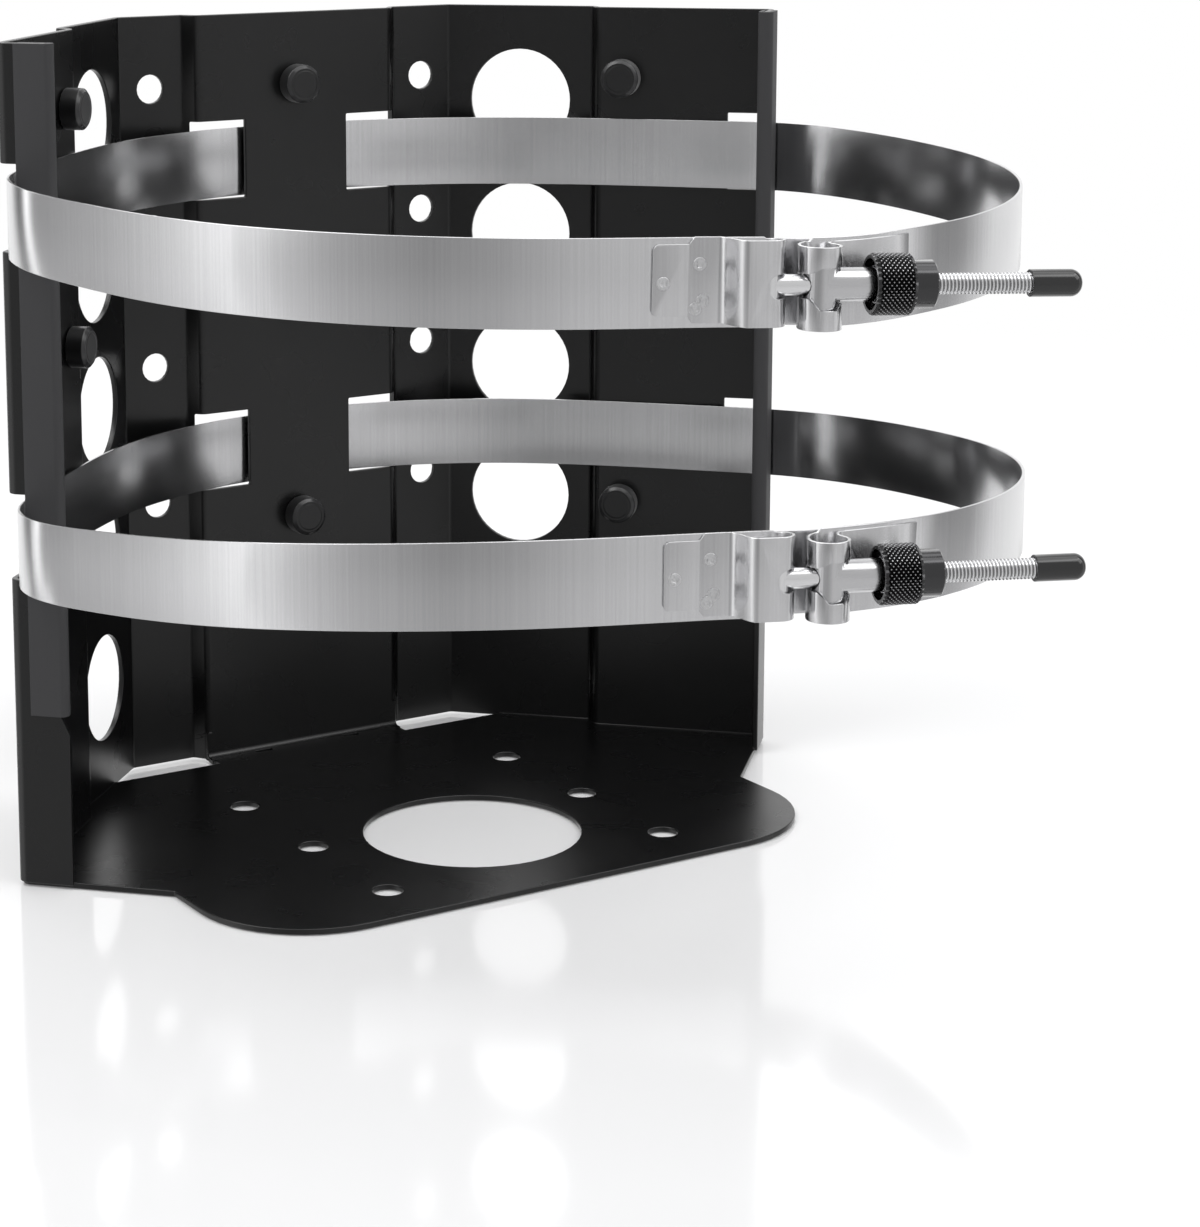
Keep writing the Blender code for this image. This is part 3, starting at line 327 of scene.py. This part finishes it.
# Edge trims
# Extruded rubber channel pushed over the free edge of each flange, matte and a little grey.
# Its fine streaks run along its length.
TRIM_EDGE = 0.00012
rubber, shader, tree = surface("trim_rubber", (0.050, 0.050, 0.052), roughness=0.62)
shader.inputs["Specular IOR Level"].default_value = 0.35
streaks = grain(tree, scale=1500.0, stretch=(1, 1, 0.15), detail=3.0)
relief(tree, shader, streaks, strength=0.15, depth=0.0002)
for side in ("left", "right"):
    trim = take_copy("edge_trim_" + side, "rubber_channel_" + side, "bracket")
    soften(trim, TRIM_EDGE, angle=40)
    dress(trim, rubber)

# Bumpers
# Moulded rubber pads with a chamfered, glossier rim painted lighter than the face as a painted
# highlight, and a slightly dished face, pushed through the sheet by a stem that swells behind it.
PAD_REACH = 0.1198
PAD_COLUMNS = {"left": math.radians(135), "center": math.radians(90), "right": math.radians(45)}
PAD_ROWS = ("top", "middle", "bottom")
PAD_RADIUS = 0.0053
PAD_FACE = 0.0043
PAD_HEIGHT = 0.0055
PAD_EDGE = 0.00022
CHAMFER = PAD_RADIUS - PAD_FACE
CHAMFER_HEIGHT = CHAMFER * 0.8
FACE_BORDER = 0.0005
FACE_STEP = 0.0002
FACE_DISH = 0.00012
SEAT = 0.0003
STEM_RADIUS = 0.0024
STEM_LENGTH = 0.0018
BULB_RADIUS = 0.0032
BULB_LENGTH = 0.0022
BULB_SWELL = BULB_LENGTH * 0.2
BULB_TAPER = BULB_LENGTH * 0.7
BULB_TIP = 0.45
RIM_SLOPE = (0.35, 0.93)
RIM_FROM = PAD_FACE * 0.97
FACING = 0.9
pad_rubber, shader, tree = surface("bumper_rubber", (0.006, 0.006, 0.0065), roughness=0.32)
shader.inputs["Sheen Weight"].default_value = 0.6
shader.inputs["Sheen Roughness"].default_value = 0.3
relief(tree, shader, grain(tree, scale=1800.0), strength=0.10, depth=0.0002)
# Painted highlight: the chamfered rim's rubber is five times lighter than the face, so it shows
# as bright arcs. Its lower roughness is real.
rim_highlight, shader, tree = surface("rim_painted_highlight", (0.030, 0.030, 0.031), roughness=0.22)
relief(tree, shader, grain(tree, scale=1800.0), strength=0.05, depth=0.0002)


def round_bar(name, radius, length, start=0.0, facets=48):
    """Cylinder standing on Z with its foot at a height."""
    bpy.ops.object.select_all(action="DESELECT")
    bpy.ops.mesh.primitive_cylinder_add(vertices=facets, radius=radius, depth=length,
                                        location=(0, 0, start + length / 2))
    bpy.ops.object.transform_apply(location=True, rotation=False, scale=False)
    bpy.context.object.name = name
    return bpy.context.object


def pick_faces(piece, test):
    """In edit mode, selects the faces whose centre and normal pass a test."""
    bpy.ops.mesh.select_all(action="DESELECT")
    bpy.ops.mesh.select_mode(type="FACE")
    bpy.ops.object.mode_set(mode="OBJECT")
    for face in piece.data.polygons:
        face.select = test(face.center, face.normal)
    bpy.ops.object.mode_set(mode="EDIT")


def faces_up(centre, normal):
    """True for a face that looks along +Z."""
    return normal.z > FACING


def faces_down(centre, normal):
    """True for a face that looks along -Z."""
    return normal.z < -FACING


def draw_out(height):
    """Extrudes the picked faces along Z."""
    bpy.ops.mesh.extrude_region_move(TRANSFORM_OT_translate={"value": (0, 0, height)})


def scale_round(share):
    """Scales what is picked towards or away from the Z axis."""
    bpy.ops.transform.resize(value=(share, share, 1), center_override=(0, 0, 0))


pad = round_bar("pad_pattern", PAD_RADIUS, PAD_HEIGHT - SEAT, SEAT)
bpy.ops.object.mode_set(mode="EDIT")
pick_faces(pad, faces_up)
bpy.ops.transform.translate(value=(0, 0, -CHAMFER_HEIGHT))
draw_out(CHAMFER_HEIGHT)
scale_round(PAD_FACE / PAD_RADIUS)
bpy.ops.mesh.inset(thickness=FACE_BORDER, depth=-FACE_DISH)
bpy.ops.mesh.inset(thickness=FACE_STEP, depth=FACE_DISH)
pick_faces(pad, faces_down)
bpy.ops.mesh.inset(thickness=PAD_RADIUS - STEM_RADIUS)
draw_out(-STEM_LENGTH - SEAT)
draw_out(-BULB_SWELL)
scale_round(BULB_RADIUS / STEM_RADIUS)
draw_out(-BULB_TAPER)
scale_round(BULB_TIP)
bpy.ops.mesh.select_all(action="SELECT")
bpy.ops.mesh.normals_make_consistent(inside=False)
bpy.ops.object.mode_set(mode="OBJECT")
soften(pad, PAD_EDGE, angle=28, segments=3)
pad.data.materials.append(pad_rubber)
pad.data.materials.append(rim_highlight)
for face in pad.data.polygons:
    sloped = face.center.z > PAD_HEIGHT / 2 and RIM_SLOPE[0] < face.normal.z < RIM_SLOPE[1]
    face.material_index = int(sloped and face.center.xy.length > RIM_FROM)
for column, angle in PAD_COLUMNS.items():
    out_way = Vector((math.cos(angle), math.sin(angle), 0))
    face_in = Matrix((Vector((out_way.y, -out_way.x, 0)), Vector((0, 0, 1)), -out_way))
    for row in PAD_ROWS:
        node = "bumper_%s_%s" % (column, row)
        low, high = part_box(node)
        height = (low[2] + high[2]) / 2
        piece = pad.copy()
        piece.data = pad.data.copy()
        piece.name = "pad_%s_%s" % (column, row)
        bpy.context.scene.collection.objects.link(piece)
        seat = Matrix.Translation(out_way * PAD_REACH + Vector((0, 0, height)))
        piece.data.transform(seat @ face_in.transposed().to_4x4())
        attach(piece, "bracket")
        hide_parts(node)
bpy.data.objects.remove(pad, do_unlink=True)

# Bands
# Stainless strip, brushed, with thin rolled edges. Each end is folded back on itself round
# the clamp's barrels and held by spot welds.
TIERS = ("upper", "lower")
STRAP_EDGE = 0.00010
NUT_AT = 0.0217
STEEL_DARK = (0.60, 0.60, 0.61, 1.0)
STEEL_LIGHT = (0.645, 0.645, 0.655, 1.0)
steel, shader, tree = surface("brushed_stainless", (0.62, 0.62, 0.63),
                              roughness=0.21, metallic=1.0)
shader.inputs["Anisotropic"].default_value = 0.85
shader.inputs["Anisotropic Rotation"].default_value = 0.25
lay = tree.nodes.new("ShaderNodeTangent")
lay.direction_type = "RADIAL"
lay.axis = "Z"
tree.links.new(lay.outputs[0], shader.inputs["Tangent"])
brush = grain(tree, scale=1.0, stretch=(9, 9, 9000))
tree.links.new(spread(tree, brush, low=0.20, high=0.23), shader.inputs["Roughness"])
relief(tree, shader, brush, strength=0.003, depth=0.0001)
cross = grain(tree, scale=1.0, stretch=(1800, 1800, 12))
tint = tree.nodes.new("ShaderNodeMix")
tint.data_type = "RGBA"
tint.inputs["A"].default_value = STEEL_DARK
tint.inputs["B"].default_value = STEEL_LIGHT
tree.links.new(spread(tree, cross, low=0.0, high=1.0), tint.inputs["Factor"])
tree.links.new(tint.outputs["Result"], shader.inputs["Base Color"])


def clamp_place(tier):
    """Middle of a clamp's T-head: X along its bolt, Y towards the cylinder, Z up."""
    spin = next(j for j in frame["joints"] if j["name"] == tier + "_nut_spin")
    along = Vector(spin["axis"]).normalized()
    inward = Vector((-along.y, along.x, 0)).normalized()
    place = Matrix((along, inward, along.cross(inward))).transposed().to_4x4()
    place.translation = Vector(spin["pos_m"]) - along * NUT_AT
    return place


bands = {}
for tier in TIERS:
    bands[tier] = take_copy(tier + "_strap", tier + "_band", "bracket")
    soften(bands[tier], STRAP_EDGE, angle=40, flat_faces=False)
    dress(bands[tier], steel)
bpy.context.view_layer.update()

# Spot welds
# Four small fused rings on each folded tab, pressed into the sheet by the welding tips.
# Each place is measured along the bolt from the T-head's middle, and upwards.
WELD_MARKS = ((-0.0215, 0.0000), (-0.0138, 0.0040), (-0.0130, -0.0036), (-0.0145, -0.0053))
WELD_RADIUS = 0.0014
WELD_THICKNESS = 0.0003
WELD_EDGE = 0.0001
WELD_FACETS = 24
RING_WIDTH = WELD_RADIUS * 0.35
RING_HEIGHT = 0.00006
DIMPLE_WIDTH = WELD_RADIUS * 0.25
DIMPLE_DEPTH = 0.00016
TIP_CLEAR = 0.004
fused, shader, tree = surface("weld_mark", (0.66, 0.66, 0.67), roughness=0.34, metallic=1.0)
relief(tree, shader, grain(tree, scale=1600.0, detail=3.0), strength=0.8, depth=0.0004)
for tier in TIERS:
    place = clamp_place(tier)
    for number, (along, height) in enumerate(WELD_MARKS, 1):
        start = place @ Vector((along, -TIP_CLEAR, height))
        hit, spot, normal, _ = bands[tier].ray_cast(start, place.col[1].to_3d())
        if not hit:
            raise RuntimeError("weld mark misses the band")
        mark = round_bar("%s_weld_%d" % (tier, number), WELD_RADIUS, WELD_THICKNESS,
                         -WELD_THICKNESS / 2, facets=WELD_FACETS)
        bpy.ops.object.mode_set(mode="EDIT")
        pick_faces(mark, faces_up)
        bpy.ops.mesh.inset(thickness=RING_WIDTH, depth=RING_HEIGHT)
        bpy.ops.mesh.inset(thickness=DIMPLE_WIDTH, depth=-DIMPLE_DEPTH)
        bpy.ops.object.mode_set(mode="OBJECT")
        soften(mark, WELD_EDGE, angle=15)
        turn = Vector((0, 0, 1)).rotation_difference(normal).to_matrix().to_4x4()
        mark.data.transform(Matrix.Translation(spot) @ turn)
        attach(mark, "bracket")
        dress(mark, fused)

# Bridge tongues
# Thin stainless strip inside each band that keeps the cylinder clear of the clamp's gap.
# Cut from the same brushed strip as the bands.
TONGUE_EDGE = 0.00006
for tier in TIERS:
    tongue = take_copy(tier + "_bridge_tongue", tier + "_tongue", "bracket")
    soften(tongue, TONGUE_EDGE, angle=40)
    dress(tongue, steel)

# T-bolts
# Cold-headed steel: a round cross-head held in the band's loop, a plain neck, then a rolled
# thread to the tip. Zinc plated and bright; the core between the thread's turns is darker and
# duller, painted shade in the thread's roots.
HEAD_RADIUS = 0.0025
HEAD_LENGTH = 0.0140
HEAD_EDGE = 0.0004
BOLT_RADIUS = 0.00226
BOLT_LENGTH = 0.0644
NECK_LENGTH = 0.0219
NECK_EDGE = 0.0002
PITCH = 0.0008
THREAD_DEPTH = 0.00042
THREAD_STEPS = 24
RIB_DEPTH = THREAD_DEPTH * 1.2
RIB_FOOT = PITCH * 0.82
RIB_CREST = 0.40
CORE_RADIUS = BOLT_RADIUS - THREAD_DEPTH * 0.9
CORE_LENGTH = BOLT_LENGTH - NECK_LENGTH
CORE_EDGE = 0.0003
ON_BOLT = Matrix.Rotation(math.pi / 2, 4, "Y")
zinc, shader, tree = surface("bright_zinc", (0.78, 0.78, 0.79), roughness=0.20, metallic=1.0)
relief(tree, shader, grain(tree, scale=700.0), strength=0.06, depth=0.0001)
# Painted shade: the core seen between the thread's turns is much darker than the zinc, giving
# dark lines in the roots.
root_shade_zinc, shader, tree = surface("thread_root_painted_shade", (0.28, 0.28, 0.28), roughness=0.45, metallic=1.0)
relief(tree, shader, grain(tree, scale=900.0), strength=0.1, depth=0.0001)


def join_into(first, others):
    """Makes several finished meshes one piece."""
    bpy.ops.object.select_all(action="DESELECT")
    for piece in others:
        piece.select_set(True)
    first.select_set(True)
    bpy.context.view_layer.objects.active = first
    bpy.ops.object.join()
    return first


def cut_thread(name):
    """V-shaped rib drawn round and along the bolt by the screw tool, closed at both ends."""
    bpy.ops.object.select_all(action="DESELECT")
    bpy.ops.mesh.primitive_plane_add(size=1.0, location=(0, 0, 0),
                                     rotation=(math.pi / 2, 0, 0))
    bpy.ops.object.transform_apply(location=False, rotation=True, scale=False)
    rib = bpy.context.object
    rib.name = name
    bpy.ops.object.mode_set(mode="EDIT")
    bpy.ops.transform.resize(value=(RIB_DEPTH, 1, RIB_FOOT), center_override=(0, 0, 0))
    pick_verts(rib, lambda co: co.x > 0)
    bpy.ops.transform.resize(value=(1, 1, RIB_CREST), center_override=(0, 0, 0))
    bpy.ops.mesh.select_all(action="SELECT")
    first_turn = (BOLT_RADIUS - RIB_DEPTH / 2, 0, PITCH / 2 + NECK_LENGTH)
    bpy.ops.transform.translate(value=first_turn)
    bpy.ops.object.mode_set(mode="OBJECT")
    screw = rib.modifiers.new("thread", "SCREW")
    screw.angle = math.tau
    screw.screw_offset = PITCH
    screw.iterations = int(CORE_LENGTH / PITCH) - 1
    screw.steps = THREAD_STEPS
    screw.render_steps = THREAD_STEPS
    bpy.ops.object.modifier_apply(modifier="thread")
    bpy.ops.object.mode_set(mode="EDIT")
    bpy.ops.mesh.select_all(action="SELECT")
    bpy.ops.mesh.remove_doubles(threshold=DOUBLE)
    bpy.ops.mesh.fill_holes(sides=4)
    bpy.ops.mesh.normals_make_consistent(inside=False)
    bpy.ops.object.mode_set(mode="OBJECT")
    bpy.ops.object.shade_smooth_by_angle(angle=math.radians(30))
    return rib


for tier in TIERS:
    head = round_bar(tier + "_bolt", HEAD_RADIUS, HEAD_LENGTH, -HEAD_LENGTH / 2)
    soften(head, HEAD_EDGE, angle=40, segments=4)
    neck = round_bar("neck", BOLT_RADIUS, NECK_LENGTH)
    soften(neck, NECK_EDGE, angle=40)
    core = round_bar("core", CORE_RADIUS, CORE_LENGTH, NECK_LENGTH)
    soften(core, CORE_EDGE, angle=40)
    thread = cut_thread("thread")
    for piece in (neck, core, thread):
        piece.data.transform(ON_BOLT)
    for piece in (head, neck, thread):
        piece.data.materials.append(zinc)
    core.data.materials.append(root_shade_zinc)
    bolt = join_into(head, [neck, core, thread])
    bolt.data.transform(clamp_place(tier))
    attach(bolt, "bracket")
    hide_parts(tier + "_t_bolt")

# Trunnions
# Turned and cross-drilled stainless: an upright barrel in the band's loop, with a sleeve that
# guides the bolt. A ring faces its end, its steel painted brighter than the sleeve's as a painted
# highlight.
SLEEVE_END = 0.0232
SLEEVE_RADIUS = 0.0036
LIP_RADIUS = 0.0040
LIP_LENGTH = 0.0006
LIP_BITE = 0.0001
LIP_EDGE = 0.0001
turned_steel, shader, tree = surface("turned_stainless", (0.58, 0.58, 0.59),
                                     roughness=0.20, metallic=1.0)
relief(tree, shader, grain(tree, scale=500.0), strength=0.05, depth=0.0001)
# Painted highlight: the lip is the sleeve's stainless made much lighter so that it reads as a
# bright ring. Its lower roughness is real.
lip_highlight_steel, shader, tree = surface("turned_lip_painted_highlight", (0.80, 0.80, 0.81), roughness=0.12, metallic=1.0)
relief(tree, shader, grain(tree, scale=900.0), strength=0.03, depth=0.0001)
for tier in TIERS:
    trunnion = take_copy(tier + "_trunnion", tier + "_cross_barrel", "bracket")
    soften(trunnion, 0)
    dress(trunnion, turned_steel)
    lip = round_bar(tier + "_sleeve_lip", LIP_RADIUS, LIP_LENGTH)
    bpy.ops.object.mode_set(mode="EDIT")
    pick_faces(lip, lambda centre, normal: abs(normal.z) > FACING)
    bpy.ops.mesh.inset(thickness=LIP_RADIUS - SLEEVE_RADIUS - LIP_BITE)
    bpy.ops.mesh.bridge_edge_loops()
    bpy.ops.object.mode_set(mode="OBJECT")
    soften(lip, LIP_EDGE, angle=40, segments=3)
    seat = Matrix.Translation((SLEEVE_END - LIP_LENGTH, 0, 0))
    lip.data.transform(clamp_place(tier) @ seat @ ON_BOLT)
    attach(lip, "bracket")
    dress(lip, lip_highlight_steel)

# Thrust washers
# Dark ring in the mouth of each nut. It rides on the sleeve's end, bears the nut's push and
# travels along the bolt with it.
WASHER_EDGE = 0.00015
seal, shader, tree = surface("thrust_ring", (0.010, 0.010, 0.011), roughness=0.30)
for tier in TIERS:
    washer = take_copy(tier + "_thrust_washer", tier + "_thrust_ring", tier + "_washer")
    soften(washer, WASHER_EDGE, angle=40)
    dress(washer, seal)

# Knurled nuts
# Turned steel with a rolled diamond knurl, a recessed mouth and a smooth collar, blackened and
# oiled. The tips of the diamonds are painted bright, a painted highlight for the glints on the
# knurl.
NUT_RADIUS = 0.0067
NUT_EDGE = 0.0006
KNURL_DEPTH = 0.00065
KNURL_LENGTH = 0.0084
KNURL_REACH = KNURL_LENGTH - 2 * NUT_EDGE
KNURL_ROUND = 64
KNURL_ROWS = 14
KNURL_TIP = 0.00027
KNURL_SKIN = KNURL_DEPTH * 1.1
GLINT_DEPTH = KNURL_DEPTH * 0.45
HAIR = 1e-6
COLLAR_RADIUS = 0.0051
COLLAR_LENGTH = 0.0050
COLLAR_EDGE = 0.0003
RECESS_RADIUS = 0.0054
RECESS_DEPTH = 0.0033
RECESS_FLOOR = 0.001
BORE_RADIUS = 0.00256
blackened, shader, tree = surface("blackened_steel", (0.042, 0.042, 0.044),
                                  roughness=0.16, metallic=1.0)
shader.inputs["Coat Weight"].default_value = 0.6
shader.inputs["Coat Roughness"].default_value = 0.10
relief(tree, shader, grain(tree, scale=1200.0), strength=0.05, depth=0.0001)
# Painted highlight: a bright metal given to the diamonds' tips so that they glint.
knurl_glint, shader, tree = surface("knurl_tips_painted_glint", (0.42, 0.42, 0.43), roughness=0.28, metallic=1.0)
relief(tree, shader, grain(tree, scale=2500.0), strength=0.3, depth=0.0001)


def pick_edges(piece, test):
    """In edit mode, selects the edges whose two ends pass a test."""
    bpy.ops.mesh.select_all(action="DESELECT")
    bpy.ops.mesh.select_mode(type="EDGE")
    bpy.ops.object.mode_set(mode="OBJECT")
    verts = piece.data.vertices
    for edge in piece.data.edges:
        edge.select = test(verts[edge.vertices[0]].co, verts[edge.vertices[1]].co)
    bpy.ops.object.mode_set(mode="EDIT")


def on_knurl(co):
    """True on the knurled band of the nut's outside."""
    inside = NUT_EDGE - HAIR < co.z < KNURL_LENGTH - NUT_EDGE + HAIR
    return inside and co.xy.length > NUT_RADIUS - KNURL_SKIN


def knurl_pits(co):
    """True for every second point of the knurl's grid: the pits between its diamonds."""
    row = round((co.z - NUT_EDGE) / KNURL_REACH * KNURL_ROWS)
    column = round(math.atan2(co.y, co.x) / math.tau * KNURL_ROUND)
    return on_knurl(co) and (row + column) % 2 == 0


def knurled_nut(name):
    """Nut with its mouth at the origin, standing along +Z."""
    nut = round_bar(name, NUT_RADIUS, KNURL_REACH, NUT_EDGE, facets=KNURL_ROUND)
    bpy.ops.object.mode_set(mode="EDIT")
    pick_edges(nut, lambda a, b: abs(a.z - b.z) > KNURL_REACH / 2)
    bpy.ops.mesh.subdivide(number_cuts=KNURL_ROWS - 1)
    pick_faces(nut, faces_up)
    draw_out(NUT_EDGE)
    scale_round((NUT_RADIUS - NUT_EDGE) / NUT_RADIUS)
    bpy.ops.mesh.inset(thickness=NUT_RADIUS - NUT_EDGE - COLLAR_RADIUS)
    draw_out(COLLAR_LENGTH - COLLAR_EDGE)
    draw_out(COLLAR_EDGE)
    scale_round((COLLAR_RADIUS - COLLAR_EDGE) / COLLAR_RADIUS)
    bpy.ops.mesh.inset(thickness=COLLAR_RADIUS - COLLAR_EDGE - BORE_RADIUS)
    draw_out(RECESS_DEPTH + RECESS_FLOOR - KNURL_LENGTH - COLLAR_LENGTH)
    pick_faces(nut, lambda centre, normal: normal.z < -FACING and centre.z < 2 * NUT_EDGE)
    draw_out(-NUT_EDGE)
    scale_round((NUT_RADIUS - NUT_EDGE) / NUT_RADIUS)
    bpy.ops.mesh.inset(thickness=NUT_RADIUS - NUT_EDGE - RECESS_RADIUS)
    draw_out(RECESS_DEPTH)
    pick_verts(nut, knurl_pits)
    scale_round((NUT_RADIUS - KNURL_DEPTH) / NUT_RADIUS)
    bpy.ops.mesh.vert_connect()
    pick_verts(nut, lambda co: on_knurl(co) and not knurl_pits(co))
    bpy.ops.mesh.bevel(offset=KNURL_TIP, affect="VERTICES")
    bpy.ops.mesh.select_all(action="DESELECT")
    bpy.ops.object.mode_set(mode="OBJECT")
    bpy.ops.object.shade_smooth_by_angle(angle=math.radians(12))
    nut.data.materials.append(blackened)
    nut.data.materials.append(knurl_glint)
    # Painted highlight: the outermost faces of the knurl's diamonds take the bright tip material.
    for face in nut.data.polygons:
        tip = face.center.xy.length > NUT_RADIUS - GLINT_DEPTH
        face.material_index = int(on_knurl(face.center) and tip)
    return nut


for tier in TIERS:
    nut = knurled_nut(tier + "_nut_knurled")
    nut.data.transform(clamp_place(tier) @ Matrix.Translation((NUT_AT, 0, 0)) @ ON_BOLT)
    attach(nut, tier + "_nut")
    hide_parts(tier + "_knurled_nut")

# Bolt caps
# Dipped vinyl sleeve with a round end, pushed over the thread's tip.
# Black and glossy.
CAP_AT = 0.0562
CAP_LENGTH = 0.0113
CAP_RADIUS = 0.0029
CAP_END = CAP_LENGTH * 0.9
CAP_ROUNDING = CAP_RADIUS * 0.82
CAP_STEPS = 8
CAP_BORE_DEPTH = 0.0085
CAP_SLACK = 0.0001
CAP_EDGE = 0.00015
vinyl, shader, tree = surface("glossy_vinyl", (0.006, 0.006, 0.0065), roughness=0.12)
shader.inputs["Coat Weight"].default_value = 0.4
for tier in TIERS:
    cap = round_bar(tier + "_vinyl_cap", CAP_RADIUS, CAP_LENGTH)
    bpy.ops.object.mode_set(mode="EDIT")
    pick_edges(cap, lambda a, b: min(a.z, b.z) > CAP_END)
    bpy.ops.mesh.bevel(offset=CAP_ROUNDING, segments=CAP_STEPS, affect="EDGES",
                       clamp_overlap=True)
    pick_faces(cap, faces_down)
    bpy.ops.mesh.inset(thickness=CAP_RADIUS - BOLT_RADIUS - CAP_SLACK)
    draw_out(CAP_BORE_DEPTH)
    bpy.ops.object.mode_set(mode="OBJECT")
    soften(cap, CAP_EDGE, angle=50, segments=3)
    cap.data.transform(clamp_place(tier) @ Matrix.Translation((CAP_AT, 0, 0)) @ ON_BOLT)
    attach(cap, "bracket")
    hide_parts(tier + "_bolt_cap")
    dress(cap, vinyl)
